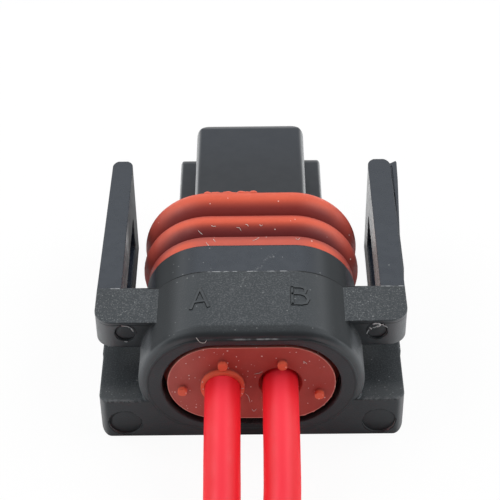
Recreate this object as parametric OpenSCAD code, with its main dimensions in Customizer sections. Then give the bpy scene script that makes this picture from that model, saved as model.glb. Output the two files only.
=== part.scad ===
// Two-way sealed connector pigtail: an oval plug with two latch arms, a ring seal,
// a wire seal, two crimped terminals and two red wires that lie in a tied hank.
// X runs across the plug, Y runs along the mating direction and Z is up from the base.

/* [Wires] */
// Outside diameter of each wire's insulation
wire_d = 2.8; // [2.2:0.1:2.8]
// Distance between the two wires
wire_pitch = 4.5; // [4.3:0.1:5]
// Diameter of the bare conductor
core_d = 1.5; // [1.2:0.1:1.7]
// Bare length at the far end of each wire
strip_l = 6; // [3:0.5:8]

/* [Body] */
// Length from the rear rim to the front of the nose
length = 28.4; // [27.6:0.2:32]
// Height of the mating axis above the base
axis_h = 5.7; // [5.7:0.05:6.2]
// Straight width across the middle of the body's oval
oval_flat = 6.8; // [6.4:0.1:7.4]
// Radius of the oval's round ends
body_r = 5.45; // [5.3:0.05:5.5]
// Length of the body behind the ring seal
body_l = 10.7; // [10:0.1:11.6]
// Distance of the mould's parting line from the rear rim
part_y = 7.3; // [6.5:0.1:8]
// Height of the small step at the parting line
part_step = 0.2; // [0.1:0.05:0.3]
// Rounding of the body's rear edge
rim_fillet = 0.6; // [0.3:0.05:0.8]
// How far the flat rim round the seal chamber stands behind the body's rear edge
rim_rise = 0.1; // [0.05:0.01:0.2]

/* [Seal chamber] */
// Straight width across the middle of the wire seal's chamber
chamber_flat = 5.4; // [5:0.1:5.8]
// Radius of the chamber's round ends
chamber_r = 4.3; // [4.1:0.05:4.4]
// Depth of the chamber
chamber_l = 8.6; // [8:0.1:9.2]

/* [Nose] */
// Width of the nose above its shoulders
nose_w = 9.5; // [9.2:0.1:10]
// Height of the nose above the mating axis
nose_up = 4.4; // [4:0.1:4.6]
// Depth of the nose below the mating axis
nose_down = 4.2; // [3.8:0.1:4.6]
// Rounding along the nose's edges
nose_round = 0.5; // [0.2:0.05:0.8]
// Rounding of the nose's front corners, seen from above
nose_corner = 1.1; // [0.6:0.1:1.6]
// Width across the nose's two shoulders
shoulder_w = 12.5; // [12:0.1:13]
// Height of the shoulders above the mating axis
shoulder_up = 1.85; // [1:0.05:2.5]
// Depth of the shoulders below the mating axis
shoulder_down = 3.4; // [2.6:0.1:3.6]
// Rounding along the shoulders' edges
shoulder_round = 0.3; // [0.1:0.05:0.5]
// How far the shoulders stop behind the front of the nose
shoulder_back = 1.75; // [1:0.05:2.5]
// Thickness of the wall in front of the terminals
front_wall = 1.2; // [0.9:0.1:1.6]
// Width of the slot for each mating blade
slot_w = 2; // [1.7:0.1:2.2]
// Height of the slot for each mating blade
slot_h = 1.2; // [1:0.1:1.6]

/* [Base block] */
// Width of the block under the body
block_w = 24.1; // [23:0.1:24.4]
// Height of the block
block_h = 3.9; // [3.2:0.1:4.4]
// Rounding of the block's outer edges
block_round = 0.8; // [0.4:0.1:1.2]

/* [Latch arms] */
// Width over both latch arms
arms_w = 24.6; // [24.4:0.1:26]
// Thickness of an arm where it leaves its elbow
arm_root_t = 1.95; // [1.7:0.05:2.1]
// Thickness at the tip of the arm that has no lip
arm_tip_t = 1.75; // [1.4:0.05:1.9]
// Distance of the arm tips from the rear rim
arm_tip_y = 24.35; // [22.5:0.05:26]
// Height of the arms above the base
arm_h = 9.4; // [9:0.1:9.6]
// Height of the lower edge of each latch window
window_low = 2.6; // [2:0.1:3.2]
// Height of the upper edge of each latch window
window_high = 6.1; // [5.6:0.1:6.4]
// Length of the bar that closes each window at the tip
crossbar_l = 3.8; // [3:0.1:4.6]
// Distance of the elbows' rear faces from the rear rim
elbow_y = 3.2; // [2.6:0.1:3.6]
// Height of the elbows' undersides
elbow_low = 6.8; // [6.5:0.1:7.2]
// How far the elbows stand above the arms
elbow_rise = 0.05; // [0:0.01:0.1]
// Rounding of the elbows' outer rear corners
elbow_round = 1.5; // [0.8:0.1:2]
// Thickness of the top plate of each elbow
plate_t = 0.25; // [0.15:0.05:0.4]
// How far the elbows' top plates overhang to the rear
plate_out = 0.12; // [0.05:0.01:0.2]
// How far the outer lip of one arm stands out at its tip
lip_out = 0.6; // [0.4:0.1:0.9]
// Depth of the groove between that lip and its arm
lip_groove_h = 1; // [0.5:0.1:1.5]

/* [Ejector marks] */
// Diameter of the marks on the base block
low_mark_d = 2.6; // [2:0.1:3]
// Diameter of the marks on the elbows
high_mark_d = 1.65; // [1.2:0.05:1.9]
// Distance of the base block's marks from the middle of the plug
low_mark_x = 10.1; // [9.8:0.1:10.4]
// Distance of the elbows' marks from the middle of the plug
high_mark_x = 9.85; // [9.6:0.05:10.2]
// Depth of the marks
mark_depth = 0.2; // [0.1:0.05:0.3]

/* [Ring seal] */
// Radius of the spigot under the ring seal
spigot_r = 4.3; // [4.1:0.05:4.4]
// Radius over the seal's ribs at the round ends
rib_r = 5.62; // [5.5:0.02:5.7]
// Distance between the two ribs
rib_pitch = 3.1; // [2.4:0.1:3.2]
// Height of the ribs above the groove between them
rib_h = 1; // [0.6:0.05:1.1]
// Length of the flat lip behind the ribs
lip_l = 1.2; // [1:0.1:2]
// Radius of the flat lip at the round ends
lip_r = 5.15; // [4.9:0.05:5.2]

/* [Wire seal] */
// How far the wire seal's rear face lies inside the rim
seal_recess = 0.2; // [0.1:0.05:0.5]
// Length of the wire seal
seal_l = 6.8; // [6:0.1:7.2]
// Height of the wire seal's own ribs
seal_rib_h = 0.4; // [0.2:0.05:0.5]
// Length of each of the wire seal's ribs
seal_rib_l = 1; // [0.6:0.1:1.2]
// Number of ribs round the wire seal
seal_ribs = 3; // [2:1:3]
// Diameter of the moulding nubs on the rear face
nub_d = 0.75; // [0.5:0.05:0.9]
// Height of the moulding nubs
nub_h = 0.45; // [0.2:0.05:0.6]
// Width of the raised lip round one wire
wire_lip_t = 0.3; // [0.2:0.05:0.4]
// Height of the raised lip round one wire
wire_lip_h = 0.5; // [0.2:0.05:0.6]

/* [Terminals] */
// Thickness of the terminals' sheet metal
stock_t = 0.25; // [0.2:0.01:0.3]
// Width of the terminal's contact box
box_w = 2.3; // [2.1:0.05:2.5]
// Height of the terminal's contact box
box_h = 2.6; // [2.4:0.05:2.8]
// Length of the contact box
box_l = 8; // [7:0.1:8.6]
// Length of the crimp on the insulation
grip_l = 2; // [1.6:0.1:2.2]
// Length of the crimp on the conductor
crimp_l = 3.2; // [2.6:0.1:3.4]

/* [Wire tie] */
// Width of the tie's strap
tie_w = 2.5; // [2:0.1:3.5]
// Thickness of the tie's strap
tie_t = 0.5; // [0.3:0.05:0.55]
// Side of the tie's locking head
tie_head = 3.2; // [2.8:0.1:3.6]

/* [Clearances] */
// Gap between a seal and the plastic that it seats on
seal_fit = 0.03; // [0.01:0.01:0.06]
// Gap between a crimp or a hole and the wire in it
wire_fit = 0.02; // [0.01:0.01:0.05]
// Gap round each terminal in its cavity
terminal_fit = 0.15; // [0.1:0.05:0.2]

/* [Hidden] */
$fn = 48;

// Colours
plastic = "#43474b";
ring_red = "#c04a38";
mat_red = "#96382f";
wire_red = "#e2343c";
tin = "#b8b6ae";
copper = "#c47f4f";
nylon = "#e6e2d6";

// Small overlap that carries one shape into the next
lap = 0.4;

// Body and nose
wire_r = wire_d / 2;
wire_x = wire_pitch / 2;
core_r = core_d / 2;
front_r = body_r - part_step;
ring_seal_l = lip_l + 2 * rib_pitch;
spigot_y = body_l + ring_seal_l;
shoulder_y = length - shoulder_back;
cell_r = (wire_pitch - stock_t * 3) / 2;

// Latch arms
arm_out = arms_w / 2;
arm_in = arm_out - arm_root_t;
elbow_top = arm_h + elbow_rise;
window_y = arm_tip_y - crossbar_l;
window_round = 0.4;
tip_edge = 0.15;
low_mark_z = 1.47;
high_mark_drop = 1.2;
high_mark_z = elbow_top - high_mark_drop;
plate_z = elbow_top - plate_t;
rear_y = elbow_y + plate_out;

// Outer lip of one arm, and the groove between it and the arm
lip_l_full = 3;
lip_l_corner = 0.5;
lip_l_tip = 0.28;
lip_tip_w = 0.08;
lip_start = 8;
lip_swell_l = 1.6;
lip_swell = 0.12;
lip_waist_y = 13.8;
lip_low = 0.1;
groove_l = 8.5;
groove_w = 0.16;
groove_end = 0.1;
groove_stop = 0.25;
notch_l = 0.75;
notch_in = 0.15;

// Terminals: each length follows from the one in front of it
neck_l = 1.6;
bare_l = 0.7;
grip_back = 0.3;
core_past = 0.3;
floor_w = 1.4;
blade_gap = 0.9;
spring_top = 0.55;
spring_end = 0.85;
box_y = length - front_wall - terminal_fit - box_l;
crimp_y = box_y - neck_l - crimp_l;
strip_y = crimp_y - bare_l;
grip_y = strip_y - grip_back - grip_l;
cell_y = crimp_y - bare_l / 4;

// Lead-in at the front of the blade slots
flare_w = 0.4;
flare_l = 0.5;

// Ring seal: a rib is the cap of a circle, rib_pitch wide and rib_h high
rib_arc = (pow(rib_pitch / 2, 2) + rib_h * rib_h) / (2 * rib_h);
groove_r = rib_r - rib_h;

// Wire seal
seal_rib_r = chamber_r - seal_fit;
seal_r = seal_rib_r - seal_rib_h;
seal_front = seal_recess + seal_l;
hole_r = wire_r + wire_fit;
nub_places = [[-5.4, -0.5], [-2.2, 2.2], [2.4, 2.2], [5.3, -1]];

// Wire tie: it holds both wires on their way out and back
tie_y = -44;
tie_play = 0.05;
tie_x = 4.35;
tie_z = wire_r + tie_play + tie_t;

// Wires: the points of each route from the rear rim, from the crimp to the cut end
route_a = [
    [-wire_x, strip_y, axis_h], [-wire_x, 6, axis_h], [-wire_x, -1, axis_h],
    [-wire_x, -4, axis_h - 0.3], [-wire_x, -7, axis_h - 1], [-2.25, -10, 3.7],
    [-2.4, -13, 2.7], [-2.7, -16, 2], [-3.1, -19, 1.65], [-3.5, -22, 1.6],
    [-4.1, -28, 1.7], [-4.3, -35, 1.9], [-tie_x, -41, tie_z], [-tie_x, -47, tie_z],
    [-4.5, -51, 1.8], [-5.5, -54.3, 1.6], [-8.4, -58.1, 1.5], [-11.5, -62.7, 1.45],
    [-12.5, -67.5, 1.45], [-11.5, -72.3, 1.45], [-8.8, -76.3, 1.45], [-4.8, -79, 1.45],
    [0, -80, 1.45], [4.8, -79, 1.45], [8.8, -76.3, 1.45], [11.5, -72.3, 1.45],
    [12.5, -67.5, 1.45], [11.5, -62.7, 1.45], [8.4, -58.1, 1.5], [5.5, -54.3, 1.6],
    [4.5, -51, 1.8], [tie_x, -47, tie_z], [tie_x, -41.5, tie_z], [4.9, -38.5, 1.85],
    [6.4, -36, 1.75]
];
route_b = [
    [wire_x, strip_y, axis_h], [wire_x, 6, axis_h], [wire_x, -1, axis_h],
    [wire_x, -4, axis_h - 0.3], [wire_x, -7, axis_h - 1], [2.2, -10, 3.7],
    [1.9, -13, 2.7], [1.4, -16, 2], [0.7, -19, 1.65], [0, -22, 1.6],
    [-1.1, -28, 1.7], [-1.4, -35, 1.9], [-1.45, -41, tie_z], [-1.45, -47, tie_z],
    [-1.55, -51, 1.8], [-2.75, -55.5, 1.6], [-6.3, -60.35, 1.5], [-8.7, -63.9, 1.45],
    [-9.5, -67.5, 1.45], [-8.8, -71.1, 1.45], [-6.7, -74.2, 1.45], [-3.6, -76.3, 1.45],
    [0, -77, 1.45], [3.6, -76.3, 1.45], [6.7, -74.2, 1.45], [8.8, -71.1, 1.45],
    [9.5, -67.5, 1.45], [8.7, -63.9, 1.45], [6.3, -60.35, 1.5], [2.75, -55.5, 1.6],
    [1.55, -51, 1.8], [1.45, -47, tie_z], [1.45, -41, tie_z], [1.5, -34, 1.75],
    [2.3, -30.5, 1.6], [4.1, -27.5, 1.5]
];

// Places a shape that is drawn with the rear rim at y = 0
module from_rim()
    translate([0, -length / 2, 0])
        children();

// Places a shape that is drawn round the mating axis, with the rear rim at y = 0
module on_axis()
    from_rim()
        translate([0, 0, axis_h])
            children();

// Oval outline with two round ends
module oval(flat, r) {
    square([flat, 2 * r], center = true);
    for (side = [-1, 1])
        translate([side * flat / 2, 0])
            circle(r);
}

// Oval prism along the mating axis
module oval_bar(flat, r, from, to)
    translate([0, to, 0])
        rotate([90, 0, 0])
            linear_extrude(to - from)
                oval(flat, r);

// Oval body or ring from a profile of radius against distance along the mating axis
module oval_turn(flat) {
    for (turn = [0, 180])
        rotate([0, turn, 0]) {
            translate([flat / 2, 0, 0])
                rotate([-90, 0, 0])
                    rotate([0, 0, -90])
                        rotate_extrude(angle = 180)
                            children();
            rotate([0, -90, 0])
                linear_extrude(flat, center = true)
                    children();
        }
}

// Rectangle from its low and high corners
module span(low, high)
    translate(low)
        square(high - low);

// Rectangle with four round corners, from its low and high corners
module round_span(low, high, r) {
    span(low + [r, 0], high - [r, 0]);
    span(low + [0, r], high - [0, r]);
    for (x = [low[0] + r, high[0] - r])
        for (y = [low[1] + r, high[1] - r])
            translate([x, y])
                circle(r);
}

// Extrudes an outline of x and z along y
module along_y(from, to)
    translate([0, to, 0])
        rotate([90, 0, 0])
            linear_extrude(to - from)
                children();

// Extrudes an outline of y and z along x
module along_x(from, to)
    translate([from, 0, 0])
        rotate([90, 0, 90])
            linear_extrude(to - from)
                children();

// Oval body with its flat rear rim, its rounded rear edge and the step at the parting line
module body_shell()
    oval_turn(oval_flat) {
        union() {
            span([0, 0], [body_r - rim_fillet, part_y]);
            span([0, rim_rise + rim_fillet], [body_r, part_y]);
            translate([body_r - rim_fillet, rim_rise + rim_fillet])
                circle(rim_fillet);
            span([0, part_y - lap], [front_r, body_l]);
        }
    }

// Nose with a shoulder at each side
module nose() {
    intersection() {
        along_y(spigot_y, length)
            round_span([-nose_w / 2, -nose_down], [nose_w / 2, nose_up], nose_round);
        translate([0, 0, -nose_down])
            linear_extrude(nose_down + nose_up)
                round_span([-nose_w / 2, spigot_y - 2 * nose_corner], [nose_w / 2, length], nose_corner);
    }
    intersection() {
        along_y(spigot_y, shoulder_y)
            round_span([-shoulder_w / 2, -shoulder_down], [shoulder_w / 2, shoulder_up], shoulder_round);
        translate([0, 0, -shoulder_down])
            linear_extrude(shoulder_down + shoulder_up)
                round_span([-shoulder_w / 2, spigot_y - 2 * shoulder_round],
                           [shoulder_w / 2, shoulder_y], shoulder_round);
    }
}

// Flat block that the plug stands on, rounded at its outer edges
module base_block()
    intersection() {
        along_y(rim_rise, part_y)
            union() {
                round_span([-block_w / 2, 0], [block_w / 2, block_h], block_round);
                span([-block_w / 2, block_round], [block_w / 2, block_h]);
            }
        linear_extrude(block_h)
            union() {
                round_span([-block_w / 2, rim_rise], [block_w / 2, part_y], block_round);
                span([-block_w / 2, rim_rise + block_round], [block_w / 2, part_y]);
            }
    }

// Outline of an elbow seen from above, with its rear face at one place along the plug
module elbow_plan(rear) {
    span([oval_flat / 2, rear], [arm_out - elbow_round, part_y]);
    span([oval_flat / 2, rear + elbow_round], [arm_out, part_y]);
    translate([arm_out - elbow_round, rear + elbow_round])
        circle(elbow_round);
}

// Elbow that carries the upper bar of a latch arm, under a top plate that overhangs to the rear
module elbow() {
    translate([0, 0, elbow_low])
        linear_extrude(elbow_top - elbow_low)
            elbow_plan(rear_y);
    translate([0, 0, plate_z])
        linear_extrude(plate_t)
            elbow_plan(elbow_y);
}

// Outline of an arm seen from above, with a round tip
module arm_plan(tip_t) {
    tip_r = tip_t / 2;
    polygon([
        [arm_in, part_y - lap],
        [arm_out, part_y - lap],
        [arm_out, part_y],
        [arm_in + tip_t, arm_tip_y - tip_r],
        [arm_in, arm_tip_y - tip_r]
    ]);
    translate([arm_in + tip_r, arm_tip_y - tip_r])
        circle(tip_r);
}

// Outline of an arm seen from the side: two bars and a crossbar round the latch window
module arm_side() {
    difference() {
        round_span([part_y - 2 * lap, 0], [arm_tip_y, arm_h], tip_edge);
        round_span([part_y - 4 * lap, window_low], [window_y, window_high], window_round);
    }
}

// Latch arm, a flexing loop of the same moulding
module latch_arm(tip_t)
    intersection() {
        linear_extrude(arm_h)
            arm_plan(tip_t);
        along_x(arm_in - lap, arm_out + lap)
            arm_side();
    }

// Thin outer lip of one arm, split from it by a groove that stops short of a notch at the tip
module outer_lip() {
    lip_x = arm_out + lip_out;
    notch_y = arm_tip_y - notch_l;
    lip_top = arm_h - lip_low;
    difference() {
        translate([0, 0, window_high])
            linear_extrude(lip_top - window_high)
                polygon([
                    [arm_out - lap, lip_start],
                    [arm_out, lip_start],
                    [arm_out + lip_swell, lip_start + lip_swell_l],
                    [arm_out + lip_swell, lip_waist_y],
                    [lip_x - lip_tip_w, arm_tip_y - lip_l_full],
                    [lip_x, arm_tip_y - lip_l_corner],
                    [lip_x - lip_tip_w, arm_tip_y - lip_l_tip],
                    [arm_out - notch_in, notch_y],
                    [arm_out - lap, notch_y - lap]
                ]);
        translate([0, 0, lip_top - lip_groove_h])
            linear_extrude(2 * lip_groove_h)
                polygon([
                    [arm_out + groove_end, notch_y - groove_l],
                    [arm_out + groove_w, notch_y - groove_stop],
                    [arm_out, notch_y - groove_stop]
                ]);
    }
}

// Cavity of one terminal: a round bore, a square channel and a flared blade slot
module terminal_cell(x) {
    half_w = box_w / 2 + terminal_fit;
    half_h = box_h / 2 + terminal_fit;
    channel_end = length - front_wall;
    translate([x, 0, 0]) {
        translate([0, chamber_l - lap, 0])
            rotate([-90, 0, 0])
                cylinder(r = cell_r, h = cell_y - chamber_l + lap);
        along_y(cell_y - lap, channel_end)
            span([-half_w, -half_h], [half_w, half_h]);
        along_y(channel_end - lap, length + lap)
            span([-slot_w / 2, -slot_h / 2], [slot_w / 2, slot_h / 2]);
        slot_flare();
    }
}

// Lead-in at the front of a blade slot
module slot_flare() {
    intersection() {
        translate([0, 0, -slot_h])
            linear_extrude(2 * slot_h)
                polygon([
                    [-slot_w / 2, length - flare_l], [slot_w / 2, length - flare_l],
                    [slot_w / 2 + flare_w, length], [slot_w / 2 + flare_w, length + lap],
                    [-slot_w / 2 - flare_w, length + lap], [-slot_w / 2 - flare_w, length]
                ]);
        along_x(-slot_w, slot_w)
            polygon([
                [length - flare_l, -slot_h / 2], [length, -slot_h / 2 - flare_w],
                [length + lap, -slot_h / 2 - flare_w], [length + lap, slot_h / 2 + flare_w],
                [length, slot_h / 2 + flare_w], [length - flare_l, slot_h / 2]
            ]);
    }
}

// Round marks that the mould's ejector pins leave on the rear faces
module ejector_marks()
    for (side = [-1, 1]) {
        translate([side * low_mark_x, rim_rise, low_mark_z])
            rotate([90, 0, 0])
                cylinder(d = low_mark_d, h = 2 * mark_depth, center = true);
        translate([side * high_mark_x, rear_y, high_mark_z])
            rotate([90, 0, 0])
                cylinder(d = high_mark_d, h = 2 * mark_depth, center = true);
    }

module housing()
    color(plastic)
        difference() {
            union() {
                on_axis() {
                    body_shell();
                    oval_bar(oval_flat, spigot_r, body_l - lap, spigot_y + lap);
                    nose();
                }
                from_rim() {
                    base_block();
                    for (side = [0, 1])
                        mirror([side, 0, 0])
                            elbow();
                    latch_arm(arm_root_t);
                    outer_lip();
                    mirror([1, 0, 0])
                        latch_arm(arm_tip_t);
                }
            }
            on_axis() {
                oval_bar(chamber_flat, chamber_r, -lap, chamber_l);
                for (side = [-1, 1])
                    terminal_cell(side * wire_x);
            }
            from_rim()
                ejector_marks();
        }

module ring_seal()
    color(ring_red)
        on_axis()
            translate([0, body_l, 0])
                oval_turn(oval_flat)
                    ring_profile();

// Section of the ring seal: a flat lip and two round ribs
module ring_profile() {
    inner = spigot_r + seal_fit;
    span([inner, 0], [lip_r, lip_l]);
    span([inner, lip_l - lap], [groove_r, ring_seal_l]);
    intersection() {
        for (i = [0, 1])
            translate([rib_r - rib_arc, lip_l + (i + 0.5) * rib_pitch])
                circle(rib_arc);
        span([inner, lip_l - lap], [rib_r + lap, ring_seal_l]);
    }
}

module wire_seal()
    color(mat_red)
        on_axis()
            difference() {
                union() {
                    oval_bar(chamber_flat, seal_r, seal_recess, seal_front);
                    for (i = [0:seal_ribs - 1])
                        translate([0, seal_rib_y(i), 0])
                            oval_turn(chamber_flat)
                                seal_rib();
                    for (place = nub_places)
                        translate([place[0], seal_recess, place[1]])
                            rotate([90, 0, 0])
                                cylinder(d = nub_d, h = 2 * nub_h, center = true);
                    translate([-wire_x, seal_recess, 0])
                        rotate([90, 0, 0])
                            cylinder(r = hole_r + wire_lip_t, h = 2 * wire_lip_h, center = true);
                }
                for (side = [-1, 1])
                    translate([side * wire_x, 0, 0])
                        rotate([-90, 0, 0])
                            cylinder(r = hole_r, h = 3 * seal_l, center = true);
                translate([wire_x, seal_recess, 0])
                    rotate([-90, 0, 0])
                        cylinder(r1 = hole_r + wire_lip_t, r2 = hole_r, h = wire_lip_h);
            }

// Place of one of the wire seal's ribs, spaced evenly along it
function seal_rib_y(i) =
    seal_recess + seal_l * (i + 1) / (seal_ribs + 1);

// Section of one of the wire seal's ribs
module seal_rib()
    polygon([
        [seal_r - lap, -seal_rib_l],
        [seal_r, -seal_rib_l],
        [seal_rib_r, -seal_rib_l / 4],
        [seal_rib_r, seal_rib_l / 4],
        [seal_r, seal_rib_l],
        [seal_r - lap, seal_rib_l]
    ]);

// Stamped terminal: contact box, floor strip, conductor crimp and insulation crimp
module terminal(x)
    color(tin)
        on_axis()
            translate([x, 0, 0])
                union() {
                    contact_box();
                    contact_spring();
                    floor_strip();
                    crimp(core_r + wire_fit, crimp_y, crimp_l);
                    crimp(wire_r + wire_fit, grip_y, grip_l);
                }

// Folded box that takes the mating blade, with the seam of the fold on its top
module contact_box()
    along_y(box_y, box_y + box_l)
        difference() {
            span([-box_w / 2, -box_h / 2], [box_w / 2, box_h / 2]);
            span([-box_w / 2 + stock_t, -box_h / 2 + stock_t], [box_w / 2 - stock_t, box_h / 2 - stock_t]);
            span([-stock_t / 4, 0], [stock_t / 4, box_h]);
        }

// Bent tongue inside the box that presses on the blade
module contact_spring() {
    low = -box_h / 2 + stock_t / 2;
    high = -blade_gap / 2 - stock_t;
    along_x(-floor_w / 2, floor_w / 2)
        polygon([
            [box_y + stock_t, low],
            [box_y + box_l * spring_top, high],
            [box_y + box_l * spring_end, low],
            [box_y + box_l * spring_end + stock_t, low],
            [box_y + box_l * spring_top, high + stock_t],
            [box_y + stock_t, low + stock_t]
        ]);
}

// Strip under the wire that joins the box to both crimps
module floor_strip() {
    grip_z = -wire_r - wire_fit - stock_t;
    crimp_z = -core_r - wire_fit - stock_t;
    box_z = -box_h / 2;
    outline = [
        [grip_y, grip_z], [strip_y, grip_z], [crimp_y, crimp_z],
        [crimp_y + crimp_l, crimp_z], [box_y, box_z], [box_y + lap, box_z]
    ];
    count = len(outline);
    along_x(-floor_w / 2, floor_w / 2)
        polygon([
            for (p = outline) p,
            for (i = [count - 1:-1:0]) outline[i] + [0, stock_t * 0.9]
        ]);
}

// Crimped barrel round a wire, with its two wings meeting at the top
module crimp(r, from, l)
    along_y(from, from + l)
        difference() {
            circle(r + stock_t);
            circle(r);
            span([-stock_t / 4, 0], [stock_t / 4, 2 * r]);
        }

module terminal_a()
    terminal(-wire_x);

module terminal_b()
    terminal(wire_x);

// Directions along and across a route at one of its points
function unit(v) = v / norm(v);
function heading(route, i) =
    unit(route[min(i + 1, len(route) - 1)] - route[max(i - 1, 0)]);
function across(route, i) = unit(cross(heading(route, i), [0, 0, 1]));

// Ring of points round one point of a route
function wire_ring(route, i, r, sides) =
    let (side = across(route, i), up = cross(side, heading(route, i)))
    [for (k = [0:sides - 1])
        route[i] + r * (cos(360 * k / sides) * side + sin(360 * k / sides) * up)];

// Round wire swept along a route
module wire(route) {
    sides = 8;
    last = len(route) - 1;
    points = [for (i = [0:last]) each wire_ring(route, i, wire_r, sides)];
    walls = [
        for (i = [0:last - 1])
            for (k = [0:sides - 1])
                let (next = (k + 1) % sides)
                [i * sides + k, (i + 1) * sides + k, (i + 1) * sides + next, i * sides + next]
    ];
    start = [for (k = [0:sides - 1]) k];
    end = [for (k = [sides - 1:-1:0]) last * sides + k];
    color(wire_red)
        from_rim()
            polyhedron(points, concat([start], walls, [end]));
}

module wire_a()
    wire(route_a);

module wire_b()
    wire(route_b);

// Bare conductor: its end in the crimp and its stripped end at the far end of the route
module conductor(route) {
    first = route[0];
    last = route[len(route) - 1];
    end = heading(route, len(route) - 1);
    color(copper)
        from_rim() {
            translate(first)
                rotate([-90, 0, 0])
                    cylinder(r = core_r, h = crimp_y + crimp_l + core_past - strip_y);
            translate(last)
                rotate([0, acos(end[2]), atan2(end[1], end[0])])
                    cylinder(r = core_r, h = strip_l);
        }
}

module conductor_a()
    conductor(route_a);

module conductor_b()
    conductor(route_b);

// Ratchet tie: a strap round the four runs of wire, its head and its cut tail
module wire_tie() {
    half = tie_x + wire_r + tie_play;
    high = tie_z + wire_r + tie_play;
    head_x = half + tie_t / 2;
    tail_x = head_x + tie_head;
    color(nylon)
        from_rim()
            translate([0, tie_y, 0]) {
                along_y(-tie_w / 2, tie_w / 2)
                    difference() {
                        round_span([-half - tie_t, 0], [half + tie_t, high + tie_t], wire_r);
                        round_span([-half, tie_t], [half, high], wire_r - tie_t);
                    }
                along_y(-tie_head / 2, tie_head / 2)
                    round_span([head_x, 0], [tail_x, tie_head], tie_t);
                along_y(-tie_w / 2, tie_w / 2)
                    span([tail_x - tie_t, 2 * tie_t], [tail_x + 2 * tie_t, 3 * tie_t]);
            }
}

housing();
ring_seal();
wire_seal();
terminal_a();
terminal_b();
wire_a();
wire_b();
conductor_a();
conductor_b();
wire_tie();
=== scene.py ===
"""Looks of the sealed two-way connector pigtail.

Lengths in the tables and the finishes are millimetres, scaled to metres where they are used.
"""
import math

import bmesh
import bpy
from mathutils import Matrix, Vector


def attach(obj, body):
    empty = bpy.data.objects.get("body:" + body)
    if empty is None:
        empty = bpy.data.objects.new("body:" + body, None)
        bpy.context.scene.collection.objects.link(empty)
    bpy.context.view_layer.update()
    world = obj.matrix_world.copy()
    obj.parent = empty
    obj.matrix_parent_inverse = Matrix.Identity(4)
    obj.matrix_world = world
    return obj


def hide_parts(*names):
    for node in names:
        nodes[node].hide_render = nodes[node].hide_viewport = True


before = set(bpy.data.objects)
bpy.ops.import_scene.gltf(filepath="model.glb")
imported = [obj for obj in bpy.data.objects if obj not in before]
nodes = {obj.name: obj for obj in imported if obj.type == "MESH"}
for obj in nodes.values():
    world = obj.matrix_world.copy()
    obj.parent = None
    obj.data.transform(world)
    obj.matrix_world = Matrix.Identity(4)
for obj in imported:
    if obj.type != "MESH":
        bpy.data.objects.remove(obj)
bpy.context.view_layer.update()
MM = 0.001

# Sizes of the plug that the pieces and finishes below follow, as in the solids
AXIS_H = 5.7  # height of the ovals' middle line
OVAL_FLAT = 6.8  # straight part of the body's oval
BODY_R = 5.45
RIM_R = 4.85
RIM_Y = -14.2
REAR_Y = -14.1  # rear face of the block
PART_Y = -6.9  # parting line
BLOCK_H = 3.9
LOW_MARK = (10.1, 1.47, 1.3)  # ejector marks: x, z and radius
HIGH_MARK = (9.85, 8.25, 0.825)
RIB_R = 5.62
RIB_LOW = -2.3  # where the ring's flat lip ends and its ribs begin
SEAL_Y = -14.0
SEAL_FLAT = 5.4
SEAL_R = 3.87
WIRE_R = 1.4


def link(obj):
    bpy.context.scene.collection.objects.link(obj)
    return obj


def mesh_piece(name, bm, material, smooth=True):
    """A piece of the plug from a bmesh in millimetres."""
    bmesh.ops.scale(bm, vec=(MM, MM, MM), verts=bm.verts)
    bmesh.ops.recalc_face_normals(bm, faces=bm.faces)
    mesh = bpy.data.meshes.new(name)
    bm.to_mesh(mesh)
    bm.free()
    for face in mesh.polygons:
        face.use_smooth = smooth
    mesh.materials.append(material)
    obj = link(bpy.data.objects.new(name, mesh))
    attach(obj, "root")
    return obj


def loft(bm, rows):
    """Skin over rows of corners, closed at both ends."""
    for low, high in zip(rows, rows[1:]):
        for j in range(len(low)):
            bm.faces.new((low[j], low[j - 1], high[j - 1], high[j]))
    bm.faces.new(rows[0])
    bm.faces.new(reversed(rows[-1]))


def circle(bm, middle, radius, side, other, sides):
    """Corners of a circle that is spanned by two directions."""
    angles = (2 * math.pi * j / sides for j in range(sides))
    return [
        bm.verts.new(middle + radius * (math.cos(a) * side + math.sin(a) * other))
        for a in angles
    ]


# Camera, fitted to the photograph's edges: azimuth, dip and roll in degrees
CAMERA_ANGLES = (-0.40, 40.165, 0.832)
CAMERA_PLACE = (0.615, -97.975, 90.192)
CAMERA_LENS = 109.64
CAMERA_SENSOR = 36


def make_camera():
    azimuth, dip, roll = (math.radians(a) for a in CAMERA_ANGLES)
    forward = Vector((
        math.sin(azimuth) * math.cos(dip),
        math.cos(azimuth) * math.cos(dip),
        -math.sin(dip),
    ))
    level = Vector((math.cos(azimuth), -math.sin(azimuth), 0))
    upright = level.cross(forward)
    right = math.cos(roll) * level - math.sin(roll) * upright
    up = math.sin(roll) * level + math.cos(roll) * upright
    data = bpy.data.cameras.new("camera")
    data.sensor_width = CAMERA_SENSOR
    data.lens = CAMERA_LENS
    data.clip_start = 0.01
    data.clip_end = 20
    camera = link(bpy.data.objects.new("camera", data))
    turn = Matrix((right, up, -forward)).transposed()
    camera.matrix_world = Matrix.Translation(Vector(CAMERA_PLACE) * MM) @ turn.to_4x4()
    bpy.context.scene.camera = camera


# Materials
SEED_STEP = (0.013, 0.007, 0.011)  # metres that one step of a seed moves the specks
SPECK_CORE = 0.6  # share of a speck's radius that is solid


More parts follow.
